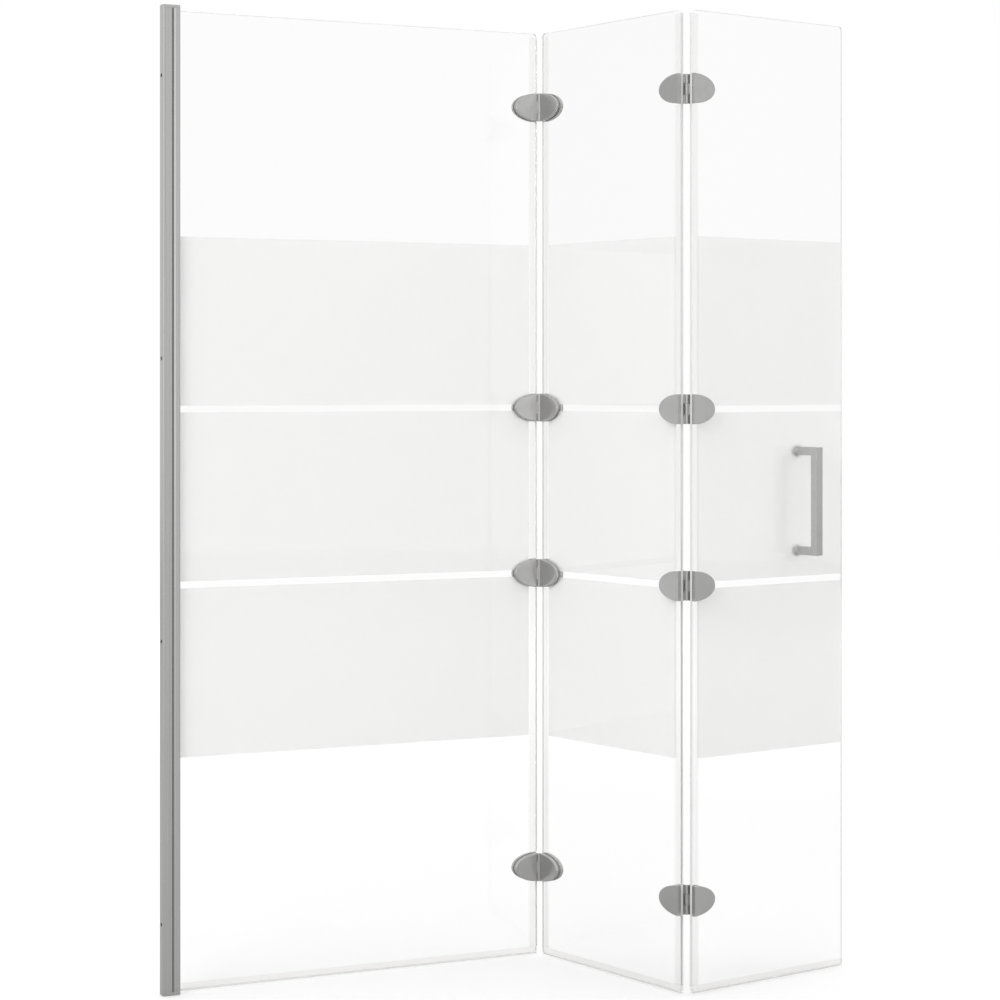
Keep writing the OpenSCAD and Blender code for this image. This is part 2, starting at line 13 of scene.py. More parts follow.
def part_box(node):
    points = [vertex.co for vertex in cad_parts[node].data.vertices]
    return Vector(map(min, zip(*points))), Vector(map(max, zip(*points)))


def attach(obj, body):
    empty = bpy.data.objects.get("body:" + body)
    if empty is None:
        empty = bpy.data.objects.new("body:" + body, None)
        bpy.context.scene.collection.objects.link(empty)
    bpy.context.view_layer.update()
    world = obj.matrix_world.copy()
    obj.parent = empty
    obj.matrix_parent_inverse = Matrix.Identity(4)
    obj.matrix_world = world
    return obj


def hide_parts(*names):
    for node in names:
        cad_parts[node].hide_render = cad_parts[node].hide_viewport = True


bl_info = {
    "name": "Folding shower screen",
    "version": (1, 0, 0),
    "blender": (4, 5, 0),
    "location": "3D View > Sidebar > Shower screen",
    "description": "Models the visible pieces of a three-panel folding shower screen",
    "category": "Add Mesh",
}

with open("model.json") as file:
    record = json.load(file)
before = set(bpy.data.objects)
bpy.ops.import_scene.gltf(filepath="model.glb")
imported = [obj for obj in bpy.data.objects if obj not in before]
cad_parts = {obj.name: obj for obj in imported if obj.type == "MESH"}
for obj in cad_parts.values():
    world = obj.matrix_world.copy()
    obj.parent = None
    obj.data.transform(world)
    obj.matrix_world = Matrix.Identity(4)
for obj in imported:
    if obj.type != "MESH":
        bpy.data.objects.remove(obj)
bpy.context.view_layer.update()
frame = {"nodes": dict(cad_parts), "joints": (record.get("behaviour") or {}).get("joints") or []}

MM = 0.001
FOLD_1, FOLD_2 = frame["joints"]
HINGE_COUNT = 4

# Tolerances: what touches, what a copied mesh merges, what is flat, along a normal, smooth or sharp.
TOUCHING = 1e-6
MERGE_DISTANCE = 0.002 * MM
FLAT_DEGREES = 0.4
ALONG = 0.99
SMOOTH_DEGREES = 35
SHARP_DEGREES = {"profile": 40, "pane": 40, "seal": 30, "handle": 60}

# A leaf's own plan: the fold's axis is the origin, the pane runs along +X, the fold closes on the -Y side.
AXIS_TO_PANE = 5.3 * MM
PANE = 5 * MM
BARREL_HEIGHT = 42 * MM
MIDDLE_KNUCKLE = 15.4 * MM
KNUCKLE_GAP = 0.3 * MM
KNUCKLE_RIM = 0.35 * MM
KNUCKLE_STEPS = 48
PIN_BORE = 1.3 * MM
WEB_INSET = 0.3 * MM
WEB_START = PIN_BORE + 0.03 * MM
WEB_OVERLAP = 1 * MM
LEAF_START = 2.8 * MM
LEAF_FRONT = 0.3 * MM
LEAF_THICKNESS = 4 * MM
COVER_START = 0.4 * MM
COVER_BACK = AXIS_TO_PANE + PANE + 0.3 * MM
COVER_DEPTH = 6.3 * MM
COVER_WALL = 1.2 * MM
PLATE_RIM_STEPS = 6
COVER_RIM_STEPS = 4

# The handle's washers, the hole that the print leaves round them, and the print.
WASHER_RADIUS = 5.8 * MM
PRINT_HOLE = 9.3 * MM
PRINT_THICKNESS = 0.2 * MM
RING_STEPS = 96

# Rounding of the dark strips of painted shade in the profile's grooves.
STRIP_EDGE = 0.3 * MM


# Sizes and colours that a user may change


class ShowerScreenSizes(PropertyGroup):
    """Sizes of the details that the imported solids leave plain."""

    plate_reach: FloatProperty(
        name="Plate reach",
        description="From the fold's axis to a hinge plate's tip",
        default=39.5 * MM,
        unit="LENGTH",
    )
    plate_height: FloatProperty(
        name="Plate height",
        description="Height of a hinge plate",
        default=42.5 * MM,
        unit="LENGTH",
    )
    plate_rim: FloatProperty(
        name="Plate rim",
        description="Width of the rounded rim on a hinge plate",
        default=1.9 * MM,
        unit="LENGTH",
    )
    cover_rim: FloatProperty(
        name="Cover rim",
        description="Width of the rounded rim on a hinge cover",
        default=1.0 * MM,
        unit="LENGTH",
    )
    plate_steps: IntProperty(
        name="Plate steps",
        description="Sides of a full plate oval",
        default=120,
    )
    barrel_radius: FloatProperty(
        name="Barrel radius",
        description="Radius of the hinge barrel",
        default=2.4 * MM,
        unit="LENGTH",
    )
    print_play: FloatProperty(
        name="Print play",
        description="Hair gap round the printed rings at the handle",
        default=0.03 * MM,
        unit="LENGTH",
    )
    metal_edge: FloatProperty(
        name="Metal edge",
        description="Width of the softened edges of the profiles",
        default=0.35 * MM,
        unit="LENGTH",
    )
    # The groove width and the strip sizes below place the dark strips of painted shade in the profile's
    # grooves.
    groove_width: FloatProperty(
        name="Groove width",
        description="Groove between the two profiles",
        default=3.7 * MM,
        unit="LENGTH",
    )
    strip_seat: FloatProperty(
        name="Strip seat",
        description="From the pane's middle to the groove's floor",
        default=5.2 * MM,
        unit="LENGTH",
    )
    strip_drop: FloatProperty(
        name="Strip drop",
        description="How far a gap strip lies below the front",
        default=0.5 * MM,
        unit="LENGTH",
    )
    strip_play: FloatProperty(
        name="Strip play",
        description="Gap on each side of a gap strip",
        default=0.15 * MM,
        unit="LENGTH",
    )
    handle_edge: FloatProperty(
        name="Handle edge",
        description="Width of the handle's rounded edges",
        default=2.0 * MM,
        unit="LENGTH",
    )
    pane_play: FloatProperty(
        name="Pane play",
        description="Hair gap between a pane and what lies on it",
        default=0.02 * MM,
        unit="LENGTH",
    )
    pane_edge: FloatProperty(
        name="Pane edge",
        description="Width of the ground bevel round a pane",
        default=0.5 * MM,
        unit="LENGTH",
    )
    seal_edge: FloatProperty(
        name="Seal edge",
        description="Width of the seals' rounded edges",
        default=0.22 * MM,
        unit="LENGTH",
    )


class ShowerScreenColours(PropertyGroup):
    """Colours of the finishes."""

    aluminium: FloatVectorProperty(
        name="Aluminium",
        description="Satin silver profiles",
        default=(0.62, 0.62, 0.613),
        subtype="COLOR",
    )
    chrome: FloatVectorProperty(
        name="Chrome",
        description="Hinges and handle",
        default=(0.613, 0.611, 0.604),
        subtype="COLOR",
    )
    steel: FloatVectorProperty(
        name="Steel",
        description="Screws, pins and clamp plates",
        default=(0.45, 0.45, 0.46),
        subtype="COLOR",
    )
    moulding: FloatVectorProperty(
        name="Moulding",
        description="Bare plastic inside the hinge covers",
        default=(0.86, 0.86, 0.85),
        subtype="COLOR",
    )
    nylon: FloatVectorProperty(
        name="Nylon",
        description="Pads and washers against the glass",
        default=(0.84, 0.84, 0.83),
        subtype="COLOR",
    )
    glass: FloatVectorProperty(
        name="Glass",
        description="The panes' faces",
        default=(0.997, 0.997, 0.996),
        subtype="COLOR",
    )
    glass_edge: FloatVectorProperty(
        name="Glass edge",
        description="The panes' ground edges",
        default=(0.965, 0.975, 0.97),
        subtype="COLOR",
    )
    frosting: FloatVectorProperty(
        name="Frosting",
        description="The printed bands",
        default=(0.932, 0.931, 0.928),
        subtype="COLOR",
    )
    vinyl: FloatVectorProperty(
        name="Vinyl",
        description="The clear seals",
        default=(0.965, 0.962, 0.959),
        subtype="COLOR",
    )
    # Rubber of the glazing gaskets, and the painted shade of the strips in the profile's grooves.
    rubber: FloatVectorProperty(
        name="Rubber",
        description="Glazing gaskets and gap strips",
        default=(0.15, 0.15, 0.152),
        subtype="COLOR",
    )
    floor: FloatVectorProperty(
        name="Floor",
        description="The pale floor",
        default=(0.52, 0.52, 0.52),
        subtype="COLOR",
    )


# Finishes


class Wire:
    """A socket in a node tree, so that shader maths reads as an expression."""

    def __init__(self, wiring, socket):
        self.wiring = wiring
        self.socket = socket

    def maths(self, operation, *values):
        """The result of a maths node on wires and numbers."""
        return self.wiring.add("ShaderNodeMath", {"operation": operation}, dict(enumerate(values)))

    def __add__(self, other):
        return self.maths("ADD", self, other)

    def __radd__(self, other):
        return self.maths("ADD", other, self)

    def __sub__(self, other):
        return self.maths("SUBTRACT", self, other)

    def __rsub__(self, other):
        return self.maths("SUBTRACT", other, self)

    def __mul__(self, other):
        return self.maths("MULTIPLY", self, other)

    def __rmul__(self, other):
        return self.maths("MULTIPLY", other, self)

    def inverse(self):
        """1 where this is 0, and 0 where it is 1."""
        return 1 - self

    def between(self, low, high):
        """0 up to low, 1 from high, smooth in between."""
        step = {"interpolation_type": "SMOOTHSTEP"}
        return self.wiring.add("ShaderNodeMapRange", step, {0: self, 1: low, 2: high})

    def above(self, level, softness):
        """0 below level, 1 above it, over a soft step."""
        return self.between(level - softness, level + softness)


class Wiring:
    """A node tree whose nodes are added by type, settings and socket values."""

    def __init__(self, tree):
        self.tree = tree

    def add(self, kind, settings=(), sockets=(), output=0):
        """Adds a node and returns its output."""
        node = self.tree.nodes.new(kind)
        for name, value in dict(settings).items():
            setattr(node, name, value)
        for name, value in dict(sockets).items():
            self.join(value, node.inputs[name])
        return Wire(self, node.outputs[output])

    def join(self, value, socket):
        """Links a wire to a socket, or sets the socket's own value."""
        if isinstance(value, Wire):
            self.tree.links.new(value.socket, socket)
        else:
            socket.default_value = value

    def vector_number(self, operation, *values):
        """The number that a vector operation gives."""
        settings = {"operation": operation}
        return self.add("ShaderNodeVectorMath", settings, dict(enumerate(values)), output="Value")

    def either_ray(self, *rays):
        """1 for a ray of any of the named kinds, otherwise 0."""
        found = [self.add("ShaderNodeLightPath", output=f"Is {ray} Ray") for ray in rays]
        seen = found[0]
        for ray in found[1:]:
            seen = seen.maths("MAXIMUM", seen, ray)
        return seen

    def has_bounced(self, kind):
        """1 for a ray whose path has bounced off that kind of surface, otherwise 0."""
        depth = self.add("ShaderNodeLightPath", output=f"{kind} Depth")
        return depth.maths("MINIMUM", depth, 1)

    def sees_backdrop(self):
        """1 for a camera ray, straight or through glass, otherwise 0."""
        unbounced = self.has_bounced("Glossy").inverse() * self.has_bounced("Diffuse").inverse()
        return self.either_ray("Camera", "Transmission") * unbounced


class Finish(Wiring):
    """One material with its surface and its place on the object."""

    def __init__(self, name, constants=()):
        self.material = bpy.data.materials.new(name)
        self.material.use_nodes = True
        super().__init__(self.material.node_tree)
        self.surface = self.tree.nodes["Principled BSDF"]
        for socket, value in dict(constants).items():
            self.surface.inputs[socket].default_value = value
        self.place = self.add("ShaderNodeTexCoord", output="Object")

    def drive(self, socket, wire):
        """Feeds one of the surface's own sockets."""
        self.join(wire, self.surface.inputs[socket])

    def stretched(self, scale, turn=(0, 0, 0)):
        """Object coordinates, scaled along each axis."""
        return self.add("ShaderNodeMapping", (), {"Vector": self.place, "Scale": scale, "Rotation": turn})

    def noise(self, scale, detail, place=None, roughness=0.5):
        """A noise pattern on the object, or on the stretched place given."""
        sockets = {"Vector": place or self.place, "Scale": scale, "Detail": detail, "Roughness": roughness}
        return self.add("ShaderNodeTexNoise", {"noise_dimensions": "3D"}, sockets)

    def blend(self, amount, first, second):
        """Colour between two colours."""
        settings = {"data_type": "RGBA", "blend_type": "MIX"}
        return self.add("ShaderNodeMix", settings, {0: amount, 6: (*first, 1), 7: (*second, 1)}, output=2)

    def tint(self, amount, colour, first, second):
        """Feeds Base Color with one colour, from its first to its second shade."""
        self.drive("Base Color", self.blend(amount, shade(colour, first), shade(colour, second)))

    def bump(self, height, depth, strength):
        """A Normal that raises the surface by up to the depth."""
        return self.add("ShaderNodeBump", (), {"Height": height, "Strength": strength, "Distance": depth})


def shade(colour, factor):
    """A darker or lighter shade of a colour."""
    return tuple(min(1.0, channel * factor) for channel in colour)


def satin_aluminium(name, colours):
    """Anodised extrusion: fine lengthwise draw lines with a soft sheen."""
    finish = Finish(name, {"Metallic": 1.0, "IOR": 1.5})
    lines = finish.noise(1.0, 3.0, finish.stretched((1400, 1400, 2.5)))
    streaks = finish.noise(1.0, 1.0, finish.stretched((420, 420, 0.6)))
    clouds = finish.noise(9.0, 2.0)
    tone = lines * 0.4 + streaks * 0.6
    finish.tint(tone, colours.aluminium, 0.76, 1.24)
    finish.drive("Roughness", 0.20 + lines * 0.08 + clouds * 0.04)
    finish.drive("Normal", finish.bump(lines, 0.01 * MM, 0.3))
    return finish.material


def chrome_plate(name, colours):
    """Chrome plate: almost a mirror, with faint polishing marks and water haze."""
    finish = Finish(name, {"Metallic": 1.0, "IOR": 1.5})
    marks = finish.noise(1.0, 4.0, finish.stretched((250, 250, 2600), (0.2, 0.3, 0.0)))
    haze = finish.noise(70.0, 3.0).above(0.55, 0.12)
    finish.tint(haze, colours.chrome, 1.0, 0.97)
    finish.drive("Roughness", 0.16 + marks * 0.05 + haze * 0.03)
    finish.drive("Normal", finish.bump(marks, 0.002 * MM, 0.2))
    return finish.material


def turned_steel(name, colours):
    """Plain stainless steel with fine machining marks."""
    finish = Finish(name, {"Metallic": 1.0, "IOR": 1.5})
    marks = finish.noise(1.0, 3.0, finish.stretched((600, 600, 4200)))
    finish.tint(marks, colours.steel, 0.88, 1.12)
    finish.drive("Roughness", 0.28 + marks * 0.14)
    finish.drive("Normal", finish.bump(marks, 0.01 * MM, 0.4))
    return finish.material


def bare_moulding(name, colours):
    """Bare moulded plastic: matt pale grey with a fine grain."""
    finish = Finish(name, {"IOR": 1.5})
    grain = finish.noise(900.0, 3.0)
    finish.tint(grain, colours.moulding, 0.95, 1.05)
    finish.drive("Roughness", 0.5 + grain * 0.2)
    finish.drive("Normal", finish.bump(grain, 0.02 * MM, 0.4))
    return finish.material


def pale_nylon(name, colours):
    """Soft translucent nylon."""
    finish = Finish(name, {"Transmission Weight": 0.25, "IOR": 1.3})
    grain = finish.noise(700.0, 2.0)
    finish.tint(grain, colours.nylon, 0.96, 1.04)
    finish.drive("Roughness", 0.4 + grain * 0.2)
    finish.drive("Normal", finish.bump(grain, 0.02 * MM, 0.3))
    return finish.material


def toughened_glass(name, colours):
    """Toughened glass: clear, with a trace of roller wave and faint wiped-off lime."""
    finish = Finish(name, {"Transmission Weight": 1.0, "IOR": 1.5})
    wave = finish.noise(1.0, 1.0, finish.stretched((3.0, 3.0, 9.0)))
    lime = finish.noise(220.0, 4.0, roughness=0.6).above(0.68, 0.08)
    finish.tint(lime, colours.glass, 1.0, 0.99)
    finish.drive("Roughness", lime * 0.02)
    finish.drive("Normal", finish.bump(wave, 0.02 * MM, 0.2))
    return finish.material


def ground_glass(name, colours):
    """A pane's ground edge, which scatters light with a faint green body colour."""
    finish = Finish(name, {"Transmission Weight": 0.2, "IOR": 1.1})
    streaks = finish.noise(1.0, 3.0, finish.stretched((900, 900, 900)))
    finish.tint(streaks, colours.glass_edge, 0.97, 1.02)
    finish.drive("Roughness", 0.80 + streaks * 0.15)
    finish.drive("Normal", finish.bump(streaks, 0.01 * MM, 0.25))
    return finish.material


def frosted_ink(name, colours):
    """Matt print on glass: a fine grain that scatters what lies behind it."""
    finish = Finish(name, {"Transmission Weight": 0.6, "IOR": 1.15})
    grain = finish.noise(2600.0, 2.0)
    cloud = finish.noise(5.0, 2.0)
    tone = grain * 0.6 + cloud * 0.4
    finish.tint(tone, colours.frosting, 0.985, 1.01)
    finish.drive("Roughness", 0.55 + grain * 0.15)
    finish.drive("Normal", finish.bump(grain, 0.01 * MM, 0.3))
    return finish.material


def milky_vinyl(name, colours):
    """Soft clear vinyl: milky, with lengthwise extrusion lines."""
    finish = Finish(name, {"Transmission Weight": 1.0, "IOR": 1.12})
    lines = finish.noise(1.0, 3.0, finish.stretched((700, 700, 6)))
    finish.tint(lines, colours.vinyl, 0.97, 1.03)
    finish.drive("Roughness", 0.14 + lines * 0.12)
    finish.drive("Normal", finish.bump(lines, 0.02 * MM, 0.3))
    return finish.material


def dusty_rubber_and_painted_shade(name, colours):
    """Matt glazing rubber with a dusty bloom; on the strips in the profile's grooves its dark colour is
    painted shade.
    """
    finish = Finish(name, {"IOR": 1.5})
    dust = finish.noise(420.0, 4.0)
    finish.tint(dust, colours.rubber, 0.8, 1.5)
    finish.drive("Roughness", 0.62 + dust * 0.2)
    finish.drive("Normal", finish.bump(dust, 0.05 * MM, 0.4))
    return finish.material


RECIPES = {
    "satin_aluminium": satin_aluminium,
    "chrome_plate": chrome_plate,
    "turned_steel": turned_steel,
    "bare_moulding": bare_moulding,
    "pale_nylon": pale_nylon,
    "toughened_glass": toughened_glass,
    "ground_glass": ground_glass,
    "frosted_ink": frosted_ink,
    "milky_vinyl": milky_vinyl,
    "dusty_rubber_and_painted_shade": dusty_rubber_and_painted_shade,
}


def finish_named(name):
    """The material of that name, made on its first use. No material of the frame has such a name."""
    found = bpy.data.materials.get(name)
    return found or RECIPES[name](name, bpy.context.scene.shower_screen_colours)


# Places


def fold_edges():
    """Each hinged edge's own plan as a matrix into the part's frame."""
    fold_1 = Matrix.Translation((*FOLD_1["pos_m"][:2], 0))
    closed_1 = math.radians(FOLD_1["range_deg"][1])
    closed_2 = math.radians(-FOLD_2["range_deg"][0])
    middle = fold_1 @ Matrix.Rotation(-closed_1, 4, "Z")
    fold_2 = Matrix.Translation((*FOLD_2["pos_m"][:2], 0)) @ Matrix.Rotation(-closed_1, 4, "Z")
    end = fold_2 @ Matrix.Rotation(closed_2, 4, "Z")
    return {
        "fixed": fold_1 @ Matrix.Scale(-1, 4, (1, 0, 0)),
        "middle_near": middle,
        "middle_far": fold_2 @ Matrix.Rotation(math.pi, 4, "Z"),
        "end": end @ Matrix.Scale(-1, 4, (0, 1, 0)),
    }


EDGES = fold_edges()
EDGE_BODY = {
    "fixed": "fixed_panel",
    "middle_near": "middle_panel",
    "middle_far": "middle_panel",
    "end": "end_panel",
}
OUTER_KNUCKLES = ("fixed", "middle_far")


def leaf_node(edge, number):
    """The name of a hinge leaf's CAD node."""
    return f"{edge}_hinge_leaf_{number}"


def hinge_heights():
    """The middle of each hinge, lowest first."""
    boxes = [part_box(leaf_node("fixed", number)) for number in range(1, HINGE_COUNT + 1)]
    return [(low.z + high.z) / 2 for low, high in boxes]


# Mesh helpers


def make_piece(name, mesh, materials, body, nodes, clear=False):
    """Turns a bmesh into a finished piece that rides on a body and stands for CAD nodes."""
    data = bpy.data.meshes.new(name)
    mesh.to_mesh(data)
    mesh.free()
    for material in materials:
        data.materials.append(finish_named(material))
    piece = bpy.data.objects.new(name, data)
    bpy.context.scene.collection.objects.link(piece)
    data.shade_smooth()
    data.set_sharp_from_angle(angle=math.radians(SMOOTH_DEGREES))
    shading = piece.modifiers.new("even_shading", "WEIGHTED_NORMAL")
    shading.keep_sharp = True
    piece.visible_shadow = not clear
    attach(piece, body)
    if nodes:
        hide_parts(*nodes)


def dress_node(node, finish, clear=False):
    """Gives a CAD node that keeps its own mesh a finish."""
    frame["nodes"][node].visible_shadow = not clear
    data = frame["nodes"][node].data
    data.materials.clear()
    data.materials.append(finish_named(finish))


def node_copy(node):
    """A CAD node's mesh with its loose triangles joined and its flat faces made whole."""
    mesh = bmesh.new()
    mesh.from_mesh(frame["nodes"][node].data)
    bmesh.ops.remove_doubles(mesh, verts=mesh.verts, dist=MERGE_DISTANCE)
    bmesh.ops.dissolve_limit(
        mesh,
        angle_limit=math.radians(FLAT_DEGREES),
        use_dissolve_boundaries=False,
        verts=mesh.verts,
        edges=mesh.edges,
    )
    return mesh


def sharp_edges(mesh, kind):
    """The edges to soften on a copy of a solid, by its kind of piece."""
    limit = math.radians(SHARP_DEGREES[kind])
    return [edge for edge in mesh.edges if len(edge.link_faces) == 2 and edge.calc_face_angle() > limit]


def soften(mesh, edges, width, segments=2):
    """Rounds the given edges."""
    bmesh.ops.bevel(
        mesh,
        geom=edges,
        offset=width,
        offset_type="OFFSET",
        affect="EDGES",
        segments=segments,
        profile=0.5,
        clamp_overlap=True,
        material=-1,
    )


def settle(mesh, place):
    """Moves a mesh to its place and turns its faces outwards."""
    bmesh.ops.transform(mesh, matrix=place, verts=mesh.verts)
    bmesh.ops.recalc_face_normals(mesh, faces=mesh.faces)


def join_mesh(target, extra):
    """Adds one bmesh to another."""
    data = bpy.data.meshes.new("spare")
    extra.to_mesh(data)
    extra.free()
    target.from_mesh(data)
    bpy.data.meshes.remove(data)


def add_box(mesh, low, high):
    """A closed box between two corners; returns its vertices."""
    middle = (Vector(low) + Vector(high)) / 2
    size = Vector(high) - Vector(low)
    place = Matrix.Translation(middle) @ Matrix.Diagonal((*size, 1))
    return bmesh.ops.create_cube(mesh, size=1, matrix=place)["verts"]


def long_edges(verts, chosen, length):
    """The edges of that length whose ends are both chosen."""
    edges = {edge for vert in verts for edge in vert.link_edges if all(chosen(end) for end in edge.verts)}
    return [edge for edge in edges if abs(edge.calc_length() - length) < TOUCHING]


def add_turned(mesh, outline, steps=RING_STEPS):
    """A closed ring about the Z axis, turned from an outline of (radius, height) corners."""
    corners = [mesh.verts.new((radius, 0, height)) for radius, height in outline]
    sides = [mesh.edges.new((corners[number - 1], corners[number])) for number in range(len(corners))]
    turn = {"cent": (0, 0, 0), "axis": (0, 0, 1), "angle": 2 * math.pi, "steps": steps, "use_merge": True}
    bmesh.ops.spin(mesh, geom=corners + sides, **turn)


def ring_outline(inner, outer, low, high):
    """A plain ring's outline."""
    return [(inner, low), (outer, low), (outer, high), (inner, high)]


def sleeve_outline(inner, outer, low, high, rim):
    """A ring's outline with its outer ends rounded."""
    turns = [math.radians(45 * number) for number in range(3)]
    top = [(outer - rim * (1 - math.cos(turn)), high - rim * (1 - math.sin(turn))) for turn in turns]
    bottom = [(radius, low + high - height) for radius, height in reversed(top)]
    return [(inner, low), *bottom, *top, (inner, high)]


def oval_plate(mesh, start, depth, rim, rim_steps, sizes):
    """A half-oval plate in the XZ plane, its face rounded; returns its flat back, which lies on y = 0."""
    upright = Matrix.Rotation(math.pi / 2, 4, "X")
    stretch = Matrix.Diagonal((sizes.plate_reach, 1, sizes.plate_height / 2, 1))
    bmesh.ops.create_circle(
        mesh, cap_ends=True, cap_tris=False, segments=sizes.plate_steps, radius=1, matrix=stretch @ upright
    )
    grown = bmesh.ops.extrude_face_region(mesh, geom=list(mesh.faces), use_keep_orig=True)["geom"]
    front = [item for item in grown if isinstance(item, bmesh.types.BMVert)]
    bmesh.ops.translate(mesh, verts=front, vec=(0, -depth, 0))
    bmesh.ops.recalc_face_normals(mesh, faces=mesh.faces)
    face_edges = [edge for edge in mesh.edges if all(vert.co.y < -depth / 2 for vert in edge.verts)]
    soften(mesh, face_edges, rim, rim_steps)
    whole = list(mesh.verts) + list(mesh.edges) + list(mesh.faces)
    plane = {"plane_co": (start, 0, 0), "plane_no": (1, 0, 0)}
    cut = bmesh.ops.bisect_plane(mesh, geom=whole, clear_inner=True, **plane)["geom_cut"]
    bmesh.ops.edgeloop_fill(mesh, edges=[item for item in cut if isinstance(item, bmesh.types.BMEdge)])
    return [face for face in mesh.faces if all(abs(vert.co.y) < TOUCHING for vert in face.verts)]


# Pieces


class SHOWERSCREEN_OT_wall_profile(Operator):
    """Wall channel, glass profile and end caps, with drawn lines and softened edges"""

    bl_idname = "shower_screen.wall_profile"
    bl_label = "Wall profile"

    def execute(self, context):
        width = context.scene.shower_screen_sizes.metal_edge
        for node in ("wall_channel", "glass_profile", "top_cap", "bottom_cap"):
            mesh = node_copy(node)
            soften(mesh, sharp_edges(mesh, "profile"), width)
            finishes = ["satin_aluminium"]
            make_piece(f"{node}_finished", mesh, finishes, "fixed_panel", [node])
        return {"FINISHED"}


class SHOWERSCREEN_OT_painted_shade_strips(Operator):
    """Dark strips of the rubber finish in the grooves between the wall channel and the glass profile:
    painted shade for the shadow in each groove
    """

    bl_idname = "shower_screen.gap_strips"
    bl_label = "Gap strips"

    def execute(self, context):
        sizes = context.scene.shower_screen_sizes
        low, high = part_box("glass_profile")
        groove_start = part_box("wall_channel")[1].x
        middle = (low.y + high.y) / 2
        near, far = sizes.strip_seat, (high.y - low.y) / 2 - sizes.strip_drop
        mesh = bmesh.new()
        for side in (-1, 1):
            y_low, y_high = sorted((middle + side * near, middle + side * far))
            first = (groove_start + sizes.strip_play, y_low, low.z)
            last = (groove_start + sizes.groove_width - sizes.strip_play, y_high, high.z)
            made = add_box(mesh, first, last)
            front = middle + side * far
            corners = long_edges(made, lambda vert: abs(vert.co.y - front) < TOUCHING, high.z - low.z)
            soften(mesh, corners, STRIP_EDGE)
        # The strips are painted shade: dark pieces that stand for the shadow inside each groove.
        make_piece("profile_painted_shade_strips", mesh, ["dusty_rubber_and_painted_shade"], "fixed_panel", [])
        return {"FINISHED"}


class SHOWERSCREEN_OT_panes(Operator):
    """The three panes, with ground edges and ground holes"""

    bl_idname = "shower_screen.panes"
    bl_label = "Panes"

    def execute(self, context):
        sizes = context.scene.shower_screen_sizes
        normals = {"fixed": EDGES["fixed"], "middle": EDGES["middle_near"], "end": EDGES["end"]}
        for panel, edge in normals.items():
            across = (edge.to_3x3() @ Vector((0, 1, 0))).normalized()
            mesh = node_copy(f"{panel}_glass")
            soften(mesh, sharp_edges(mesh, "pane"), sizes.pane_edge, 1)
            depths = [vert.co.dot(across) for vert in mesh.verts]
            middle = Matrix.Translation(across * (min(depths) + max(depths)) / 2)
            thinner = middle @ Matrix.Scale(1 - 2 * sizes.pane_play / PANE, 4, across) @ middle.inverted()
            bmesh.ops.transform(mesh, matrix=thinner, verts=mesh.verts)
            mesh.normal_update()
            for face in mesh.faces:
                face.material_index = 0 if abs(face.normal.dot(across)) > ALONG else 1
            finishes = ["toughened_glass", "ground_glass"]
            body = f"{panel}_panel"
            make_piece(f"{panel}_pane", mesh, finishes, body, [f"{panel}_glass"], clear=True)
        return {"FINISHED"}


class SHOWERSCREEN_OT_frosting(Operator):
    """The frosted bands on the panes"""

    bl_idname = "shower_screen.frosting"
    bl_label = "Frosted bands"

    def execute(self, context):
        for panel in ("fixed", "middle", "end"):
            dress_node(f"{panel}_frosted_bands", "frosted_ink", clear=True)
        self.handle_rings(context.scene.shower_screen_sizes.print_play)
        return {"FINISHED"}

    def handle_rings(self, play):
        """The rings that carry the print up to the handle's washers, between the pane and the back caps."""
        low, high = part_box("handle_washers")
        along = (EDGES["end"].inverted() @ ((low + high) / 2)).x
        rings = bmesh.new()
        for height in (low.z + WASHER_RADIUS, high.z - WASHER_RADIUS):
            ring = bmesh.new()
            half = PRINT_THICKNESS / 2 - play
            add_turned(ring, ring_outline(WASHER_RADIUS + play, PRINT_HOLE - play, -half, half))
            spot = Matrix.Translation((along, AXIS_TO_PANE - PRINT_THICKNESS / 2, height))
            settle(ring, EDGES["end"] @ spot @ Matrix.Rotation(math.pi / 2, 4, "X"))
            join_mesh(rings, ring)
        finishes = ["frosted_ink"]
        make_piece("handle_print_rings", rings, finishes, "end_panel", [], clear=True)


class SHOWERSCREEN_OT_seals(Operator):
    """Clear vinyl seals on the upright edges and under the panes"""

    bl_idname = "shower_screen.seals"
    bl_label = "Seals"

    def execute(self, context):
        width = context.scene.shower_screen_sizes.seal_edge
        seals = {
            "fixed_bottom_seal": "fixed_panel",
            "fixed_edge_seal": "fixed_panel",
            "middle_bottom_seal": "middle_panel",
            "middle_near_edge_seal": "middle_panel",
            "middle_far_edge_seal": "middle_panel",
            "end_bottom_seal": "end_panel",
            "end_edge_seal": "end_panel",
        }
        for node, body in seals.items():
            mesh = node_copy(node)
            soften(mesh, sharp_edges(mesh, "seal"), width)
            make_piece(f"{node}_strip", mesh, ["milky_vinyl"], body, [node], clear=True)
        return {"FINISHED"}


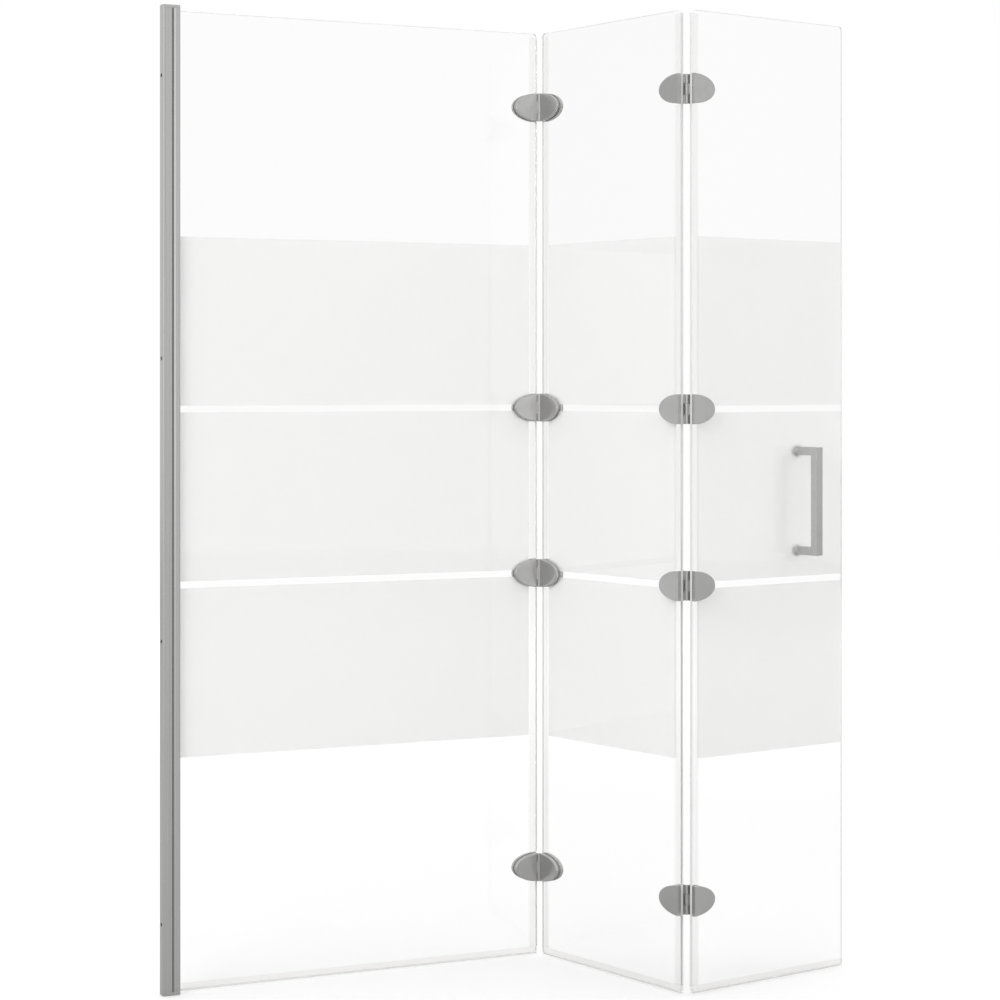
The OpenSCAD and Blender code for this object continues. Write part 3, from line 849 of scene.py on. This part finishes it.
class SHOWERSCREEN_OT_hinges(Operator):
    """Hinge plates with their knuckles, and the covers on the other face of the glass"""

    bl_idname = "shower_screen.hinges"
    bl_label = "Hinges"

    def execute(self, context):
        sizes = context.scene.shower_screen_sizes
        for edge, place in EDGES.items():
            body = EDGE_BODY[edge]
            covers = bmesh.new()
            for number, height in enumerate(hinge_heights(), 1):
                spot = place @ Matrix.Translation((0, 0, height))
                leaf = self.leaf(edge in OUTER_KNUCKLES, sizes)
                settle(leaf, spot)
                node = leaf_node(edge, number)
                make_piece(f"{node}_plate", leaf, ["chrome_plate"], body, [node])
                cover = self.cover(sizes)
                settle(cover, spot)
                join_mesh(covers, cover)
            node = f"{edge}_hinge_covers"
            finishes = ["chrome_plate", "bare_moulding"]
            make_piece(f"{node}_shells", covers, finishes, body, [node])
        return {"FINISHED"}

    def leaf(self, outer, sizes):
        """A plate with its knuckles: two outer ones or the middle one."""
        mesh = bmesh.new()
        oval_plate(mesh, LEAF_START, LEAF_THICKNESS, sizes.plate_rim, PLATE_RIM_STEPS, sizes)
        bmesh.ops.translate(mesh, verts=mesh.verts, vec=(0, LEAF_FRONT + LEAF_THICKNESS, 0))
        half, inner = BARREL_HEIGHT / 2, MIDDLE_KNUCKLE / 2
        spans = [(inner + KNUCKLE_GAP, half), (-half, -inner - KNUCKLE_GAP)] if outer else [(-inner, inner)]
        for low, high in spans:
            sleeve = sleeve_outline(PIN_BORE, sizes.barrel_radius, low, high, KNUCKLE_RIM)
            add_turned(mesh, sleeve, KNUCKLE_STEPS)
            web_low = (WEB_START, LEAF_FRONT, low + WEB_INSET)
            web_high = (LEAF_START + WEB_OVERLAP, sizes.barrel_radius - LEAF_FRONT, high - WEB_INSET)
            add_box(mesh, web_low, web_high)
        return mesh

    def cover(self, sizes):
        """A hollow cover whose inner faces are bare plastic."""
        mesh = bmesh.new()
        back = oval_plate(mesh, COVER_START, COVER_DEPTH, sizes.cover_rim, COVER_RIM_STEPS, sizes)
        wall = {"thickness": COVER_WALL, "use_even_offset": True, "use_boundary": True}
        bmesh.ops.inset_region(mesh, faces=back, **wall)
        floor = bmesh.ops.extrude_discrete_faces(mesh, faces=back)["faces"]
        for face in {inner for face in floor for edge in face.edges for inner in edge.link_faces}:
            face.material_index = 1
        verts = {vert for face in floor for vert in face.verts}
        bmesh.ops.translate(mesh, verts=list(verts), vec=(0, -(COVER_DEPTH - COVER_WALL), 0))
        bmesh.ops.scale(mesh, verts=mesh.verts, vec=(1, -1, 1))
        bmesh.ops.translate(mesh, verts=mesh.verts, vec=(0, COVER_BACK, 0))
        return mesh


class SHOWERSCREEN_OT_handle(Operator):
    """Square pull handle and its round caps behind the glass"""

    bl_idname = "shower_screen.handle"
    bl_label = "Handle"

    def execute(self, context):
        edge = context.scene.shower_screen_sizes.handle_edge
        # Each CAD node, the piece that stands for it, its rounding and the steps of that.
        rounded = (
            ("pull_handle", "pull_handle_bar", edge, 4),
            ("handle_back_caps", "handle_cap_discs", edge / 2, 3),
        )
        for node, name, width, steps in rounded:
            mesh = node_copy(node)
            soften(mesh, sharp_edges(mesh, "handle"), width, steps)
            make_piece(name, mesh, ["chrome_plate"], "end_panel", [node])
        return {"FINISHED"}


class SHOWERSCREEN_OT_fixings(Operator):
    """Screws, pins, clamp plates, pads, washers and gaskets"""

    bl_idname = "shower_screen.fixings"
    bl_label = "Fixings"

    def execute(self, context):
        for node in frame["nodes"]:
            if node.endswith(("_screws", "_pins", "_clamp_plates")):
                dress_node(node, "turned_steel")
            elif node.endswith(("_pads", "_washers")):
                dress_node(node, "pale_nylon")
            elif node.endswith("_gaskets"):
                dress_node(node, "dusty_rubber_and_painted_shade")
        return {"FINISHED"}


# Stage

CAMERA_PLACE = (-1.1547, -3.2644, 0.865)
CAMERA_TURN = 23.657
CAMERA_LENS = 87.99
CAMERA_SHIFT = (0.16018, -0.1168)
SENSOR_WIDTH = 36
LAMP_TARGET = (0.4, -0.1, 0.7)
# Each lamp's place, its width and height, and its power.
LAMPS = {
    "key_lamp": ((-4.6, -3.2, 3.4), (3.2, 2.4), 140),
    "fill_lamp": ((4.4, -3.4, 2.2), (2.4, 2.4), 40),
    "back_lamp": ((0.6, 4.6, 3.2), (3.0, 2.0), 40),
}
FLOOR_RADIUS = 9
FLOOR_STEPS = 96
FLOOR_MIDDLE = (0.4, 0, -0.001)
# The floor's own glow before the camera, which rises between two distances to cover the light's fall.
FLOOR_FAR = (1.5, 4.5)
FLOOR_GLOW = 0.47
FLOOR_FAR_GLOW = 0.1
LIT_LEVEL = 0.88
# What the metal reflects: a level, then (direction, where the lobe starts, where it is full, what it adds).
MIRRORED_LEVEL = 0.70
MIRRORED_LOBES = (
    ((-0.34, -0.94, 0.0), 0.91, 1.00, 0.65),
    ((-0.95, 0.31, 0.0), 0.70, 0.98, -0.15),
    ((-0.60, 0.80, 0.0), 0.965, 0.995, 0.20),
    ((0.95, 0.30, 0.25), 0.85, 0.99, 0.28),
    ((0.0, 0.0, -1.0), 0.05, 0.80, -0.30),
    ((0.0, 0.0, 1.0), 0.10, 0.80, 0.12),
)


def soft_lamp(name, place, size, power):
    """A large area lamp that lights the part and doesn't show in metal or glass."""
    data = bpy.data.lights.new(name, "AREA")
    data.shape = "RECTANGLE"
    data.size, data.size_y = size
    data.energy = power
    lamp = bpy.data.objects.new(name, data)
    bpy.context.scene.collection.objects.link(lamp)
    lamp.location = place
    lamp.visible_glossy = False
    lamp.visible_transmission = False
    lamp.rotation_euler = (Vector(LAMP_TARGET) - Vector(place)).to_track_quat("-Z", "Y").to_euler()


class SHOWERSCREEN_OT_stage(Operator):
    """Camera, pale floor, white surroundings and soft lamps"""

    bl_idname = "shower_screen.stage"
    bl_label = "Stage"

    def execute(self, context):
        self.camera(context)
        self.floor(context)
        self.surroundings(context)
        for name, (place, size, power) in LAMPS.items():
            soft_lamp(name, place, size, power)
        context.scene.view_settings.view_transform = "Standard"
        return {"FINISHED"}

    def camera(self, context):
        data = bpy.data.cameras.new("photo_camera")
        data.sensor_fit = "HORIZONTAL"
        data.sensor_width = SENSOR_WIDTH
        data.lens = CAMERA_LENS
        data.shift_x, data.shift_y = CAMERA_SHIFT
        camera = bpy.data.objects.new("photo_camera", data)
        context.scene.collection.objects.link(camera)
        camera.location = CAMERA_PLACE
        camera.rotation_euler = (math.pi / 2, 0, -math.radians(CAMERA_TURN))
        context.scene.camera = camera

    def floor(self, context):
        mesh = bmesh.new()
        bmesh.ops.create_circle(mesh, cap_ends=True, segments=FLOOR_STEPS, radius=FLOOR_RADIUS)
        bmesh.ops.translate(mesh, verts=mesh.verts, vec=FLOOR_MIDDLE)
        data = bpy.data.meshes.new("pale_floor")
        mesh.to_mesh(data)
        mesh.free()
        finish = Finish("pale_floor", {"Roughness": 0.9, "Specular IOR Level": 0.0})
        colour = context.scene.shower_screen_colours.floor
        finish.surface.inputs["Base Color"].default_value = (*colour, 1)
        finish.surface.inputs["Emission Strength"].default_value = 1.0
        distance = finish.vector_number("LENGTH", finish.place)
        glow = FLOOR_GLOW + distance.between(*FLOOR_FAR) * FLOOR_FAR_GLOW
        finish.drive("Emission Color", finish.blend(finish.sees_backdrop() * glow, (0, 0, 0), (1, 1, 1)))
        data.materials.append(finish.material)
        floor = bpy.data.objects.new("pale_floor", data)
        context.scene.collection.objects.link(floor)

    def surroundings(self, context):
        world = bpy.data.worlds.new("white_surroundings")
        world.use_nodes = True
        context.scene.world = world
        room = Wiring(world.node_tree)
        facing = room.add("ShaderNodeTexCoord", output="Generated")
        mirrored = MIRRORED_LEVEL
        for direction, starts, full, extra in MIRRORED_LOBES:
            along = room.vector_number("DOT_PRODUCT", facing, Vector(direction).normalized())
            mirrored = along.between(starts, full) * extra + mirrored
        lit = room.add("ShaderNodeBackground", (), {"Color": (LIT_LEVEL, LIT_LEVEL, LIT_LEVEL, 1)})
        shown = room.add("ShaderNodeBackground", (), {"Color": (1, 1, 1, 1)})
        glossy = room.add("ShaderNodeBackground", (), {"Color": (1, 1, 1, 1), "Strength": mirrored})
        seen_in_metal = room.has_bounced("Glossy") * room.has_bounced("Diffuse").inverse()
        plain = room.add("ShaderNodeMixShader", (), {0: seen_in_metal, 1: lit, 2: glossy})
        whole = room.add("ShaderNodeMixShader", (), {0: room.sees_backdrop(), 1: plain, 2: shown})
        room.join(whole, world.node_tree.nodes["World Output"].inputs["Surface"])


class SHOWERSCREEN_PT_panel(Panel):
    """The steps that dress the shower screen"""

    bl_label = "Shower screen"
    bl_idname = "SHOWERSCREEN_PT_panel"
    bl_space_type = "VIEW_3D"
    bl_region_type = "UI"
    bl_category = "Shower screen"

    def draw(self, context):
        for step in STEPS:
            self.layout.operator(step.bl_idname)


STEPS = (
    SHOWERSCREEN_OT_wall_profile,
    SHOWERSCREEN_OT_painted_shade_strips,
    SHOWERSCREEN_OT_panes,
    SHOWERSCREEN_OT_frosting,
    SHOWERSCREEN_OT_seals,
    SHOWERSCREEN_OT_hinges,
    SHOWERSCREEN_OT_handle,
    SHOWERSCREEN_OT_fixings,
    SHOWERSCREEN_OT_stage,
)
CLASSES = (ShowerScreenSizes, ShowerScreenColours, *STEPS, SHOWERSCREEN_PT_panel)


def register():
    for item in CLASSES:
        bpy.utils.register_class(item)
    bpy.types.Scene.shower_screen_sizes = PointerProperty(type=ShowerScreenSizes)
    bpy.types.Scene.shower_screen_colours = PointerProperty(type=ShowerScreenColours)


def unregister():
    del bpy.types.Scene.shower_screen_colours
    del bpy.types.Scene.shower_screen_sizes
    for item in reversed(CLASSES):
        bpy.utils.unregister_class(item)


def plain(bounds):
    """Bounds as plain lists, which JSON can hold."""
    return [[float(value) for value in corner] for corner in bounds]


def main():
    register()
    for step in STEPS:
        group, name = step.bl_idname.split(".")
        getattr(getattr(bpy.ops, group), name)()


if __name__ == "__main__":
    main()
